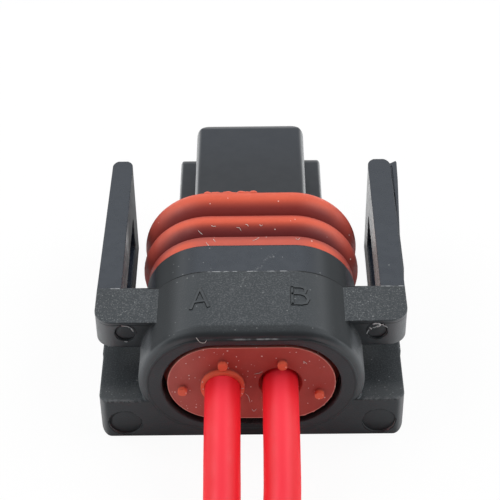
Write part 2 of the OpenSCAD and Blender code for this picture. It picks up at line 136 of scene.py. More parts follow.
class Nodes:
    """Builds a node tree over the place or direction that its texture coordinates give."""

    def __init__(self, tree, place):
        self.tree = tree
        self.place = self.add("ShaderNodeTexCoord").outputs[place]

    def add(self, kind, **settings):
        node = self.tree.nodes.new(kind)
        for key, value in settings.items():
            setattr(node, key, value)
        return node

    def feed(self, socket, value):
        """Link a socket to another one, or set it to a constant."""
        if isinstance(value, bpy.types.NodeSocket):
            self.tree.links.new(value, socket)
        else:
            socket.default_value = value

    def split(self, vector):
        node = self.add("ShaderNodeSeparateXYZ")
        self.feed(node.inputs[0], vector)
        return node.outputs

    def math(self, operation, *values):
        node = self.add("ShaderNodeMath", operation=operation)
        for socket, value in zip(node.inputs, values):
            self.feed(socket, value)
        return node.outputs[0]

    def absolute(self, value):
        return self.math("ABSOLUTE", value)

    def plus(self, first, second):
        return self.math("ADD", first, second)

    def minus(self, first, second):
        return self.math("SUBTRACT", first, second)

    def product(self, first, *others):
        for other in others:
            first = self.math("MULTIPLY", first, other)
        return first

    def most(self, first, *others):
        for other in others:
            first = self.math("MAXIMUM", first, other)
        return first

    def ramp(self, value, low, high, to_low=0.0, to_high=1.0):
        """Smooth step from to_low to to_high as the value goes from low to high."""
        node = self.add("ShaderNodeMapRange", interpolation_type="SMOOTHSTEP")
        self.feed(node.inputs["Value"], value)
        limits = {"From Min": low, "From Max": high, "To Min": to_low, "To Max": to_high}
        for key, number in limits.items():
            node.inputs[key].default_value = number
        return node.outputs["Result"]

    def fade(self, length, low, high, to_low=0.0, to_high=1.0):
        """Smooth step over a length, between two places in millimetres."""
        return self.ramp(length, low * MM, high * MM, to_low, to_high)

    def band(self, length, middle, half, soft):
        """One within half of the middle, fading to zero over soft, all in millimetres."""
        away = self.absolute(self.minus(length, middle * MM))
        return self.fade(away, half, half + soft, 1, 0)

    def reach(self, a, b):
        """Length of the line whose two legs are a and b."""
        return self.math("SQRT", self.plus(self.product(a, a), self.product(b, b)))

    def oval(self, x, z, flat):
        """Distance from the middle line of an oval of the given straight width."""
        past = self.most(self.minus(self.absolute(x), flat / 2 * MM), 0.0)
        return self.reach(past, self.minus(z, AXIS_H * MM))

    def mix(self, share, first, second):
        """Colour that goes from the first to the second as the share goes from 0 to 1."""
        node = self.add("ShaderNodeMix", data_type="RGBA")
        self.feed(node.inputs["Factor"], share)
        for key, value in (("A", first), ("B", second)):
            socket = [s for s in node.inputs if s.name == key and s.type == "RGBA"][0]
            linked = isinstance(value, bpy.types.NodeSocket)
            self.feed(socket, value if linked else (*value, 1))
        return [s for s in node.outputs if s.type == "RGBA"][0]

    def noise(self, size, detail=2.0, rough=0.5):
        """Noise whose features are about size millimetres across."""
        node = self.add("ShaderNodeTexNoise")
        self.feed(node.inputs["Vector"], self.place)
        node.inputs["Scale"].default_value = 1 / (size * MM)
        node.inputs["Detail"].default_value = detail
        node.inputs["Roughness"].default_value = rough
        return node.outputs["Fac"]

    def specks(self, spacing, size, share, seed):
        """Sparse round specks: about share of the cells of one spacing hold one."""
        shifted = self.add("ShaderNodeVectorMath", operation="ADD")
        self.feed(shifted.inputs[0], self.place)
        shifted.inputs[1].default_value = tuple(seed * step for step in SEED_STEP)
        spot = self.add("ShaderNodeTexVoronoi", feature="F1")
        self.feed(spot.inputs["Vector"], shifted.outputs[0])
        spot.inputs["Scale"].default_value = 1 / (spacing * MM)
        edge = size / spacing
        near = self.ramp(spot.outputs["Distance"], edge * SPECK_CORE, edge, 1, 0)
        chance = self.split(spot.outputs["Color"])[0]
        return self.product(near, self.math("LESS_THAN", chance, share))


class Material(Nodes):
    """Builds one material's node tree around its Principled shader."""

    def __init__(self, name):
        self.material = bpy.data.materials.new(name)
        self.material.use_nodes = True
        super().__init__(self.material.node_tree, "Object")
        self.shader = self.tree.nodes["Principled BSDF"]

    def facing(self):
        """The three parts of the surface's normal."""
        return self.split(self.add("ShaderNodeNewGeometry").outputs["Normal"])

    def uneven(self, size, detail, low, high):
        """Roughness that changes from low to high in patches of about size millimetres."""
        return self.ramp(self.noise(size, detail), 0.3, 0.7, low, high)

    def rounded(self, radius):
        """Normal of the surface as if its edges were rounded, by a radius in millimetres."""
        node = self.add("ShaderNodeBevel", samples=6)
        self.feed(node.inputs["Radius"], radius * MM)
        return node.outputs["Normal"]

    def bump(self, height, strength, distance, normal=None):
        """Bump of the given depth in millimetres, over the surface or another normal."""
        node = self.add("ShaderNodeBump")
        node.inputs["Strength"].default_value = strength
        node.inputs["Distance"].default_value = distance * MM
        self.feed(node.inputs["Height"], height)
        if normal is not None:
            self.feed(node.inputs["Normal"], normal)
        self.feed(self.shader.inputs["Normal"], node.outputs["Normal"])

    def set(self, **values):
        for key, value in values.items():
            self.feed(self.shader.inputs[key.replace("_", " ")], value)
        return self.material


# Housing: fine spark-eroded grain behind the parting line, and satin in front of it
GRAIN = (0.13, 3, 0.65)  # size, detail and roughness of its noise
GLOSS = {"Specular_IOR_Level": 0.55, "Specular_Tint": (0.88, 0.95, 1, 1)}
BODY_FRONT = (-2.6, -3.0)  # y where finishes of the body begin, and where they are full
SATIN = ((0.0085, 0.0122, 0.0205), (0.0125, 0.0172, 0.0270))
ERODED = ((0.0130, 0.0160, 0.0190), (0.0185, 0.0225, 0.0260))
# Pale grain peaks, partly a painted highlight on the tops
GRAIN_PEAK_AND_HIGHLIGHT = (0.062, 0.068, 0.073)
# Painted highlight on the nose's edges, and painted shade on its top
NOSE_EDGE_HIGHLIGHT = (0.27, 0.275, 0.28)
NOSE_TOP_SHADE = (0.002, 0.0025, 0.005)
# Painted shade on the -X arm's inner face, and painted light on the +X arm's inner face
ARM_SHADE = (0.003, 0.0035, 0.004)
ARM_LIT = (0.34, 0.315, 0.295)
# Pale side layer: dust with painted side light
SIDE_DUST_AND_SHEEN = (0.100, 0.105, 0.111)
# Painted highlight on the elbows' outer corners
ELBOW_CORNER_HIGHLIGHT = (0.17, 0.175, 0.18)
ELBOW_SHADED = (0.005, 0.006, 0.007)
# Painted shade on the body's sides and rim rounding
BODY_SHADE = (0.004, 0.005, 0.006)
# Dust on the block's shelf, and dust with painted side light on the collar
DUST_AND_SHEEN = (0.085, 0.09, 0.094)
SPECK = (0.30, 0.31, 0.31)
# Pale wear with a painted highlight on the block's rear edge, and painted light on the elbows' rear
# faces
PALE_WEAR_AND_HIGHLIGHT = (0.16, 0.165, 0.17)
# Painted highlight along the top of the rim's edge
RIM_EDGE_HIGHLIGHT = (0.085, 0.085, 0.09)
# Pale flash, and painted glints on the rim
FLASH_AND_GLINT = (0.42, 0.43, 0.44)
# Dark seams and mark edges, and painted shade in the marks and under the elbows' plates
SEAM_AND_SHADE = (0.003, 0.003, 0.0035)
# Painted shadow of the wires
WIRE_SHADOW = (0.003, 0.0025, 0.0028)
RUB_MARK = (0.2, 0.205, 0.21)


class Plastic(Material):
    """The housing's finish: layers painted one over the other, painted light and shade among them.

    A layer that also changes the gloss or the relief returns its mask, which is one inside it.
    """

    def __init__(self):
        super().__init__("housing_plastic")
        self.x, self.y, self.z = self.split(self.place)
        self.wide = self.absolute(self.x)
        self.around = self.oval(self.x, self.z, OVAL_FLAT)
        self.normal = self.facing()
        self.tilt = self.absolute(self.normal[0])
        self.up = self.ramp(self.normal[2], 0.75, 0.95)
        self.back = self.ramp(self.normal[1], -0.6, -0.9)
        self.rear = self.fade(self.y, PART_Y + 0.02, PART_Y - 0.02)
        self.grain = self.noise(*GRAIN)
        blotch = self.noise(2.5, 3)
        satin, eroded = self.mix(blotch, *SATIN), self.mix(blotch, *ERODED)
        self.colour = self.mix(self.rear, satin, eroded)

    def paint(self, share, colour):
        self.colour = self.mix(share, self.colour, colour)

    def grain_peaks_and_highlight(self):
        """Pale peaks of the grain on up-facing tops, partly a painted highlight: strongest on the
        middle of the body and on the elbows.
        """
        middle = self.fade(self.wide, 2.5, 5.0, 1.35, 0.2)
        elbows = self.product(
            self.fade(self.wide, 6.8, 7.2), self.fade(self.wide, 8.5, 10.5, 0.95, 0.5))
        peaks = self.ramp(self.grain, 0.46, 0.68)
        spread = self.plus(middle, elbows)
        self.paint(self.product(peaks, self.rear, self.up, spread), GRAIN_PEAK_AND_HIGHLIGHT)

    def nose(self):
        """Painted highlights along the edges of the nose and its shoulders and at their fronts, and
        painted shade on its top, deeper towards the ring.
        """
        along = self.product(
            self.ramp(self.tilt, 0.05, 0.7), self.ramp(self.tilt, 0.995, 0.95),
            self.ramp(self.normal[2], 0.0, 0.15))
        high = self.fade(self.z, 8.0, 9.0)
        front = self.most(
            self.product(self.fade(self.y, 13.75, 14.15), high),
            self.product(self.fade(self.y, 12.0, 12.4), self.minus(1.0, high)))
        nose = self.product(self.fade(self.y, 3.6, 4.2), self.fade(self.wide, 8.0, 7.5))
        edges = self.most(along, self.product(front, self.up))
        # Painted highlights on the edges, then painted shade on the top
        self.paint(self.product(edges, nose, 0.85), NOSE_EDGE_HIGHLIGHT)
        top = self.product(nose, self.up)
        self.paint(self.product(top, self.fade(self.y, 13.0, 6.0, 0.4, 0.9)), NOSE_TOP_SHADE)
        return top

    def arms(self):
        """Inner faces of the arms: painted shade on the one at -X, which is also made duller, and
        painted light on the one at +X.
        """
        painted_shade = self.product(
            self.ramp(self.normal[0], 0.5, 0.8), self.fade(self.x, -9.8, -10.2),
            self.fade(self.y, -2.0, 3.0, 0.1, 1.0))
        # Painted shade on the -X arm's inner face
        self.paint(self.product(painted_shade, 0.7), ARM_SHADE)
        # Painted light on the +X arm's inner face
        lit_face = self.product(
            self.ramp(self.normal[0], -0.5, -0.8), self.fade(self.x, 9.8, 10.2),
            self.fade(self.y, 5.0, 0.0), 0.85)
        self.paint(lit_face, ARM_LIT)
        return painted_shade

    def film_and_painted_light(self):
        """Pale layer on the outer sides, dust with painted light from the sides; a painted
        highlight on the elbows' outer corners; and across the elbows' rear faces, painted light
        outwards and painted shade next to the body.
        """
        film_and_painted_light = self.ramp(self.tilt, 0.3, 0.85)
        self.paint(self.product(film_and_painted_light, self.ramp(self.rear, 0.0, 1.0, 0.05, 0.6)), SIDE_DUST_AND_SHEEN)
        corner = self.product(
            self.ramp(self.tilt, 0.2, 0.8), self.fade(self.wide, 10.2, 11.2), self.rear)
        self.paint(self.product(corner, 0.7), ELBOW_CORNER_HIGHLIGHT)
        # Painted light outwards and painted shade inwards on the elbows' rear faces
        face = self.product(self.back, self.fade(self.z, 5.5, 5.8))
        self.paint(self.product(face, self.fade(self.wide, 9.6, 11.8), 0.7), PALE_WEAR_AND_HIGHLIGHT)
        shaded = self.product(
            face, self.fade(self.wide, 9.3, 8.5), self.fade(self.y, -12.0, -11.6), 0.6)
        self.paint(shaded, ELBOW_SHADED)

    def body(self):
        """Painted shade on the body's sides and on the rounding of its rear rim, which are also
        made duller.
        """
        flank = self.product(
            self.ramp(self.tilt, 0.1, 0.6), self.ramp(self.normal[2], 0.4, 0.6),
            self.fade(self.wide, 8.0, 7.6),
            self.fade(self.y, -14.0, -13.6), self.fade(self.y, *BODY_FRONT))
        brim = self.product(
            self.fade(self.y, -12.9, -13.4), self.fade(self.z, 9.4, 10.2),
            self.ramp(self.normal[2], 0.2, 0.5), 0.8)
        painted_shade = self.most(flank, brim)
        # Painted shade on the sides and the rim rounding
        self.paint(self.product(painted_shade, 0.95), BODY_SHADE)
        return painted_shade

    def dust(self):
        """Dust: a band on the block, thick and fine on the elbows, thin on the body."""
        shelf = self.product(
            self.fade(self.y, -11.8, -13.2), self.fade(self.wide, 8.6, 9.2),
            self.fade(self.z, 4.6, 4.1), self.up)
        self.paint(self.product(shelf, 0.45), DUST_AND_SHEEN)
        elbow = self.product(
            self.fade(self.wide, 7.0, 7.3), self.fade(self.z, 8.9, 9.1), self.rear)
        off_arms = self.most(self.rear, self.fade(self.wide, 9.5, 9.0))
        patches = self.ramp(self.noise(0.6, 2), 0.3, 0.6, 0.18, 0.5)
        fine = self.product(self.specks(0.14, 0.055, 0.55, 2), elbow, patches)
        bright = self.product(self.specks(0.36, 0.065, 0.30, 5), elbow, 0.75)
        thin = self.product(
            self.specks(0.42, 0.075, 0.16, 1), self.ramp(elbow, 0.0, 1.0, 0.55, 0.0), off_arms)
        stray = self.product(
            self.specks(0.85, 0.10, 0.18, 3), self.fade(self.z, 4.5, 6.0), 0.6)
        strewn = self.product(self.specks(0.22, 0.06, 0.5, 7), shelf, 0.5)
        dust = self.most(fine, bright, thin, stray, strewn)
        behind_ring = self.fade(self.y, -3.0, -3.4)
        self.paint(self.product(dust, behind_ring, self.up, 0.75), SPECK)

    def collar(self):
        """Pale sides of the collar: dust, and painted light from the sides."""
        collar = self.product(
            self.fade(self.y, -12.4, -12.9), self.fade(self.wide, 4.0, 5.5),
            self.fade(self.z, 3.6, 5.4), self.ramp(self.normal[2], 0.7, 0.3),
            self.fade(self.around, RIM_R - 0.15, RIM_R + 0.05),
            self.fade(self.around, BODY_R + 0.3, BODY_R + 0.1))
        self.paint(self.product(collar, 0.55), DUST_AND_SHEEN)

    def marks(self):
        """Mask of the ejector marks: ragged dark edges and crumbs, and painted shade inside them,
        deeper towards the bottom in the low marks.
        """
        uneven = self.product(self.minus(self.noise(0.5, 3), 0.5), 0.35 * MM)

        def mark(x, z, radius):
            away = self.reach(self.minus(self.wide, x * MM), self.minus(self.z, z * MM))
            ragged_away = self.plus(away, uneven)
            edge = self.band(ragged_away, radius, 0.03, 0.07)
            return ragged_away, edge, self.fade(away, radius, radius - 0.08)

        _, high_edge, high_inside = mark(*HIGH_MARK)
        low_away, low_edge, low_inside = mark(*LOW_MARK)
        _, low_z, low_r = LOW_MARK
        # Painted shade inside the low marks, deeper towards the bottom
        low_shade = self.fade(self.z, low_z + 0.9, low_z - 1.1, 0.1, 0.8)
        crumbs = self.product(
            self.band(low_away, low_r - 0.08, 0.10, 0.12), self.fade(self.x, -10.0, -10.7))
        return self.most(
            crumbs, high_edge, self.product(high_inside, 0.25),
            low_edge, self.product(low_inside, low_shade))

    def lines(self):
        """Dark seams, marks and painted shade, then a painted highlight along the top of the rim's
        edge, and the pale flash with painted glints.
        """
        # The parting line is a dark seam down the flanks and pale flash on the top and the arms
        seam = self.product(
            self.band(self.y, PART_Y - 0.07, 0.05, 0.05),
            self.fade(self.wide, 3.0, 4.2), self.fade(self.wide, 9.0, 8.6))
        flash = self.product(
            self.band(self.y, PART_Y - 0.03, 0.025, 0.04), self.up,
            self.ramp(self.noise(0.45, 2), 0.47, 0.6),
            self.most(self.fade(self.wide, 3.6, 3.0), self.fade(self.wide, 10.3, 10.5)))
        # A painted highlight with a few painted glints along the top of the flat rim's edge, and a
        # dark line down its sides
        rim = self.fade(self.y, RIM_Y + 0.4, RIM_Y + 0.3)
        ring = self.product(
            self.band(self.around, RIM_R - 0.2, 0.03, 0.05), rim,
            self.fade(self.wide, 3.2, 4.4), 0.7)
        rim_highlight = self.product(
            self.band(self.around, RIM_R + 0.02, 0.012, 0.035), rim,
            self.fade(self.wide, 4.2, 3.2), self.fade(self.z, 10, 10.2))
        glint = self.product(
            rim_highlight, self.band(self.x, 0.4, 1.3, 0.6), self.ramp(self.noise(0.9, 3), 0.40, 0.68))
        # Painted shadow line under the elbows' top plates
        under = self.product(
            self.band(self.z, 9.12, 0.05, 0.06), self.ramp(self.normal[2], 0.5, 0.2),
            self.fade(self.wide, 7.6, 8.0), self.fade(self.y, -7.6, -8.2))
        dark = self.most(
            seam, self.product(ring, 0.85), self.product(under, 0.8),
            self.product(self.marks(), self.back, 0.85))
        self.paint(dark, SEAM_AND_SHADE)
        patches = self.ramp(self.noise(1.1, 2), 0.3, 0.6, 0.2, 0.7)
        self.paint(self.product(rim_highlight, patches), RIM_EDGE_HIGHLIGHT)
        self.paint(self.most(self.product(flash, 0.75), glint), FLASH_AND_GLINT)
        return seam, dark

    def block(self):
        """Pale rear edge of the block with dust, partly a painted highlight on its rounding, and
        painted shadow of the wires under the seal.
        """
        # Dust with a painted highlight along the block's rear edge
        edge = self.product(
            self.band(self.z, BLOCK_H, 0.02, 0.14), self.fade(self.y, REAR_Y + 0.45, REAR_Y + 0.1),
            self.fade(self.wide, 8.2, 8.8), self.ramp(self.noise(0.3, 3), 0.42, 0.6))
        self.paint(self.product(edge, 0.5), PALE_WEAR_AND_HIGHLIGHT)
        # Painted shadow of the wires, under the seal
        wire_shadow = self.product(
            self.fade(self.wide, 1.5, 1.0), self.fade(self.z, 2.2, 1.6), self.back, 0.85)
        self.paint(wire_shadow, WIRE_SHADOW)
        return wire_shadow

    def rub_mark(self):
        """Faint rub mark that crosses the top of the body at a slant."""
        run_x, run_y = 0.575, 0.818
        along = self.plus(self.product(self.x, run_x), self.product(self.y, run_y))
        off = self.minus(self.product(self.x, run_y), self.product(self.y, run_x))
        rub = self.product(
            self.band(off, 4.13, 0.02, 0.3), self.fade(along, -10.2, -9.2),
            self.fade(along, -3.0, -2.0, 1, 0), self.up,
            self.ramp(self.noise(0.16, 3, 0.7), 0.5, 0.66))
        self.paint(self.product(rub, 0.4), RUB_MARK)

    def roughness(self, top, dull, body, dark):
        """Roughness: satin or grained, and duller inside the given masks."""
        side = self.product(
            self.fade(self.wide, 4.4, 5.6), self.fade(self.wide, 9.0, 8.8),
            self.fade(self.y, *BODY_FRONT))
        grained = self.product(self.most(self.rear, side), 0.17)
        rough = self.plus(grained, self.uneven(0.8, 4, 0.22, 0.29))
        return self.most(
            self.plus(rough, self.product(top, 0.14)), self.product(dark, 0.9),
            self.product(dull, 0.55), self.product(body, 0.75))

    def relief(self, seam):
        """The grain, the groove of the seam and the rounding of the rim and the small edges."""
        grain = self.product(self.grain, self.ramp(self.rear, 0.0, 1.0, 0.05, 1.0))
        falling = self.product(
            self.fade(self.y, -13.1, -13.7), self.fade(self.around, RIM_R - 0.1, RIM_R), 3.0)
        height = self.minus(grain, self.plus(falling, self.product(seam, 1.5)))
        self.bump(height, 0.5, 0.05, self.rounded(0.2))


def plastic_material():
    n = Plastic()
    n.grain_peaks_and_highlight()
    top = n.nose()
    dull = n.arms()
    n.film_and_painted_light()
    body = n.body()
    n.dust()
    n.collar()
    seam, dark = n.lines()
    wire_shadow = n.block()
    n.rub_mark()
    n.relief(seam)
    rough = n.roughness(top, dull, body, n.most(dark, wire_shadow))
    return n.set(Base_Color=n.colour, Roughness=rough, **GLOSS)


# Silicone rubber of the seals: the colour's range, and the colours of each finish, painted light
# and shade among them
RING_RED = ((0.58, 0.085, 0.043), (0.65, 0.104, 0.054))
# Painted shade on the ribs' sides and grooves, on the lip next to the ribs, and at the ring's ends
RING_FLANK_SHADE = (0.16, 0.020, 0.023)
RING_SHADE = (0.09, 0.011, 0.015)
LIP_DUSTY = (0.26, 0.10, 0.10)
LIP_SHADE = (0.20, 0.045, 0.045)
RING_END_SHADE = (0.26, 0.045, 0.046)
# A lighter copy of the ring's rubber: painted light on the ring's flash
FLASH_RED_LIT = ((0.70, 0.135, 0.085), (0.78, 0.165, 0.105))
SEAL_RED = ((0.36, 0.050, 0.040), (0.50, 0.084, 0.068))
# Painted light: dust and light towards -X, light on the parts that stand proud, and a highlight on
# the rim
SEAL_DUST_AND_LIGHT = (0.56, 0.19, 0.16)
SEAL_PROUD_LIT = (0.92, 0.16, 0.085)
SEAL_RIM_HIGHLIGHT = (0.95, 0.40, 0.33)
LINT = (0.88, 0.74, 0.69)


def ring_finish(n, colour):
    """Bright crests; painted shade down the ribs' sides and in the grooves, deeper on the rear rib;
    dust on the lip, with painted shade next to the ribs; and painted shade at both ends.
    """
    x, y, z = n.split(n.place)
    facing = n.facing()
    tilt = n.absolute(facing[0])
    ribs = n.fade(y, RIB_LOW - 0.1, RIB_LOW + 0.1)
    flank = n.ramp(facing[1], -0.08, -0.68)
    groove = n.product(n.ramp(facing[1], 0.05, 0.65), n.fade(y, 1.2, 0.9), 0.8)
    deep = n.fade(n.oval(x, z, OVAL_FLAT), RIB_R - 0.1, RIB_R - 0.6)
    dull = n.product(n.most(flank, groove, deep), ribs, n.ramp(tilt, 0.4, 0.8, 0.85, 0.55))
    # Painted shade down the ribs' sides and in the grooves
    colour = n.mix(dull, colour, RING_FLANK_SHADE)
    shade = n.product(
        n.ramp(facing[1], 0.0, -0.5), n.fade(y, 0.0, -0.6), ribs, n.ramp(tilt, 0.3, 0.8, 0.55, 0.0))
    colour = n.mix(shade, colour, RING_SHADE)
    middle = n.fade(n.absolute(x), 5.5, 4.0)
    colour = n.mix(n.product(n.ramp(ribs, 0.0, 1.0, 0.3, 0.0), middle), colour, LIP_DUSTY)
    beside = n.product(n.fade(y, RIB_LOW - 0.6, RIB_LOW), n.ramp(ribs, 0.0, 1.0, 0.6, 0.0))
    colour = n.mix(beside, colour, LIP_SHADE)
    return n.mix(n.product(n.ramp(tilt, 0.45, 0.95), 0.6), colour, RING_END_SHADE)


def seal_finish(n, colour):
    """Dust with painted light towards the -X side, painted light on the nubs and lip that stand
    proud, and a painted highlight along the rim, all brighter than the face.
    """
    x, y, z = n.split(n.place)
    proud = n.fade(y, SEAL_Y - 0.05, SEAL_Y - 0.3)
    rim = n.product(
        n.band(n.oval(x, z, SEAL_FLAT), SEAL_R, 0.04, 0.06),
        n.fade(y, SEAL_Y + 0.25, SEAL_Y + 0.05))
    colour = n.mix(n.fade(x, -2.5, -5.5, 0.0, 0.4), colour, SEAL_DUST_AND_LIGHT)
    colour = n.mix(n.product(proud, 0.9), colour, SEAL_PROUD_LIT)
    return n.mix(n.product(rim, 0.7), colour, SEAL_RIM_HIGHLIGHT)


def rubber_material(name, low, high, dust_share, finish=None):
    n = Material(name)
    colour = n.mix(n.noise(1.6, 3), low, high)
    flecks = n.product(n.ramp(n.noise(0.25, 2), 0.55, 0.75), 0.25)
    colour = n.mix(flecks, colour, tuple(c * 1.15 for c in high))
    if finish:
        colour = finish(n, colour)
    dust = n.most(
        n.specks(0.53, 0.075, dust_share, 3), n.specks(0.9, 0.085, dust_share * 0.7, 4),
        n.specks(0.37, 0.055, dust_share * 0.8, 8))
    colour = n.mix(n.product(dust, 0.8), colour, LINT)
    n.bump(n.noise(0.3, 3), 0.12, 0.05, n.rounded(0.1))
    return n.set(
        Base_Color=colour, Roughness=n.uneven(0.7, 3, 0.42, 0.56), Specular_IOR_Level=0.22)


def wire_material():
    """Red insulation, with painted shade down the sides."""
    n = Material("wire_insulation")
    colour = n.mix(n.noise(4, 2), (0.92, 0.036, 0.058), (0.95, 0.042, 0.066))
    # Painted shade down the sides of the wire
    side = n.ramp(n.absolute(n.facing()[0]), 0.2, 0.6)
    colour = n.mix(side, colour, (0.82, 0.014, 0.026))
    n.bump(n.noise(0.5, 3), 0.06, 0.04)
    return n.set(
        Base_Color=colour, Roughness=n.uneven(1.2, 3, 0.42, 0.52), Specular_IOR_Level=0.25)


def metal_material(name, low, high, rough):
    n = Material(name)
    colour = n.mix(n.noise(0.6, 4), low, high)
    n.bump(n.noise(0.12, 2), 0.1, 0.02)
    return n.set(
        Base_Color=colour, Metallic=1.0, Roughness=n.uneven(0.3, 3, rough, rough + 0.14))


def nylon_material():
    """Natural nylon with the teeth of a ratchet strap."""
    n = Material("tie_nylon")
    colour = n.mix(n.noise(1.5, 3), (0.70, 0.68, 0.60), (0.80, 0.78, 0.71))
    teeth = n.math("PINGPONG", n.split(n.place)[0], 0.35 * MM)
    teeth = n.product(teeth, 800)  # from 0 to 0.28 over half a tooth
    n.bump(n.plus(teeth, n.noise(0.3, 2)), 0.25, 0.1)
    return n.set(
        Base_Color=colour, Roughness=n.uneven(0.6, 3, 0.34, 0.46),
        Subsurface_Weight=0.15, Subsurface_Radius=(0.001, 0.001, 0.0008))


def letter_material():
    n = Material("letter_plastic")
    colour = n.mix(n.noise(*GRAIN), (0.014, 0.017, 0.020), (0.042, 0.047, 0.051))
    n.bump(n.noise(*GRAIN), 0.5, 0.05)
    return n.set(Base_Color=colour, Roughness=n.uneven(0.8, 4, 0.39, 0.46), **GLOSS)


# Painted shade: a darker copy of the letters' plastic for the sides of their strokes
def flank_shade_material():
    n = Material("letter_flank_shade")
    colour = n.mix(n.noise(0.3, 3), (0.005, 0.0055, 0.006), (0.010, 0.011, 0.012))
    n.bump(n.noise(0.13, 3), 0.3, 0.03)
    return n.set(
        Base_Color=colour, Roughness=n.uneven(0.5, 3, 0.55, 0.65), Specular_IOR_Level=0.15)


def flash_material():
    n = Material("flash_plastic")
    colour = n.mix(n.noise(0.2, 2), (0.22, 0.225, 0.23), (0.85, 0.86, 0.87))
    n.bump(n.noise(0.1, 2), 0.3, 0.02)
    return n.set(Base_Color=colour, Roughness=n.uneven(0.2, 2, 0.25, 0.4))


def fibre_material():
    n = Material("dust_fibre")
    colour = n.mix(n.noise(0.2, 2), (0.52, 0.47, 0.44), (0.76, 0.73, 0.70))
    n.bump(n.noise(0.05, 2), 0.3, 0.01)
    return n.set(Base_Color=colour, Roughness=n.uneven(0.1, 2, 0.7, 0.9))


# Cords: each route has the solids' points, from the crimp to the end, with y from the rear rim
ROUTE_A = [
    (-2.25, 13.55, 5.7), (-2.25, 6, 5.7), (-2.25, -1, 5.7), (-2.25, -4, 5.4), (-2.25, -7, 4.7),
    (-2.25, -10, 3.7), (-2.4, -13, 2.7), (-2.7, -16, 2), (-3.1, -19, 1.65), (-3.5, -22, 1.6),
    (-4.1, -28, 1.7), (-4.3, -35, 1.9), (-4.35, -41, 1.95), (-4.35, -47, 1.95), (-4.5, -51, 1.8),
    (-5.5, -54.3, 1.6), (-8.4, -58.1, 1.5), (-11.5, -62.7, 1.45), (-12.5, -67.5, 1.45),
    (-11.5, -72.3, 1.45), (-8.8, -76.3, 1.45), (-4.8, -79, 1.45), (0, -80, 1.45),
    (4.8, -79, 1.45), (8.8, -76.3, 1.45), (11.5, -72.3, 1.45), (12.5, -67.5, 1.45),
    (11.5, -62.7, 1.45), (8.4, -58.1, 1.5), (5.5, -54.3, 1.6), (4.5, -51, 1.8),
    (4.35, -47, 1.95), (4.35, -41.5, 1.95), (4.9, -38.5, 1.85), (6.4, -36, 1.75),
]
ROUTE_B = [
    (2.25, 13.55, 5.7), (2.25, 6, 5.7), (2.25, -1, 5.7), (2.25, -4, 5.4), (2.25, -7, 4.7),
    (2.2, -10, 3.7), (1.9, -13, 2.7), (1.4, -16, 2), (0.7, -19, 1.65), (0, -22, 1.6),
    (-1.1, -28, 1.7), (-1.4, -35, 1.9), (-1.45, -41, 1.95), (-1.45, -47, 1.95),
    (-1.55, -51, 1.8), (-2.75, -55.5, 1.6), (-6.3, -60.35, 1.5), (-8.7, -63.9, 1.45),
    (-9.5, -67.5, 1.45), (-8.8, -71.1, 1.45), (-6.7, -74.2, 1.45), (-3.6, -76.3, 1.45),
    (0, -77, 1.45), (3.6, -76.3, 1.45), (6.7, -74.2, 1.45), (8.8, -71.1, 1.45),
    (9.5, -67.5, 1.45), (8.7, -63.9, 1.45), (6.3, -60.35, 1.5), (2.75, -55.5, 1.6),
    (1.55, -51, 1.8), (1.45, -47, 1.95), (1.45, -41, 1.95), (1.5, -34, 1.75),
    (2.3, -30.5, 1.6), (4.1, -27.5, 1.5),
]
# Bare conductor: its lengths in the crimp and at the far end, and its strands
CRIMP_BARE = 4.2
END_BARE = 6.0
STRAND_R = 0.15
STRAND_LAY = 16.0
STRAND_RINGS = ((1, 0.0), (6, 0.3), (12, 0.598))  # count and radius


def from_rim(points):
    return [Vector((p[0], p[1] + RIM_Y, p[2])) for p in points]


def smooth_line(points, steps=8):
    """A smooth line through every point of a route."""
    ends = [2 * points[0] - points[1], *points, 2 * points[-1] - points[-2]]
    line = []
    for a, b, c, d in zip(ends, ends[1:], ends[2:], ends[3:]):
        slope, bend, twist = c - a, 2 * a - 5 * b + 4 * c - d, 3 * b - a - 3 * c + d
        for k in range(steps):
            t = k / steps
            line.append(0.5 * (2 * b + slope * t + bend * t * t + twist * t ** 3))
    return [*line, points[-1]]


def make_wire(name, route, material):
    line = smooth_line(from_rim(route))
    data = bpy.data.curves.new(name, "CURVE")
    data.dimensions = "3D"
    data.bevel_depth = WIRE_R * MM
    data.bevel_resolution = 7
    data.use_fill_caps = True
    spline = data.splines.new("POLY")
    spline.points.add(len(line) - 1)
    for point, place in zip(spline.points, line):
        point.co = (*(place * MM), 1)
    spline.use_smooth = True
    data.materials.append(material)
    wire = link(bpy.data.objects.new(name, data))
    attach(wire, "root")
    return wire


def strand_rods(bm, start, along, length):
    """Twisted bundle of nineteen strands that fills the bare conductor's outline."""
    sides, loops = 8, 13
    side = along.orthogonal().normalized()
    other = along.cross(side)
    for count, ring_r in STRAND_RINGS:
        for k in range(count):
            rows = []
            for i in range(loops):
                s = length * i / (loops - 1)
                a = 2 * math.pi * (k / count + s / STRAND_LAY)
                middle = start + along * s + ring_r * (math.cos(a) * side + math.sin(a) * other)
                rows.append(circle(bm, middle, STRAND_R, side, other, sides))
            loft(bm, rows)


def make_strands(name, node, route, material):
    places = from_rim(route)
    bm = bmesh.new()
    strand_rods(bm, places[0], Vector((0, 1, 0)), CRIMP_BARE)
    strand_rods(bm, places[-1], (places[-1] - places[-2]).normalized(), END_BARE)
    piece = mesh_piece(name, bm, material)
    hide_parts(node)
    return piece


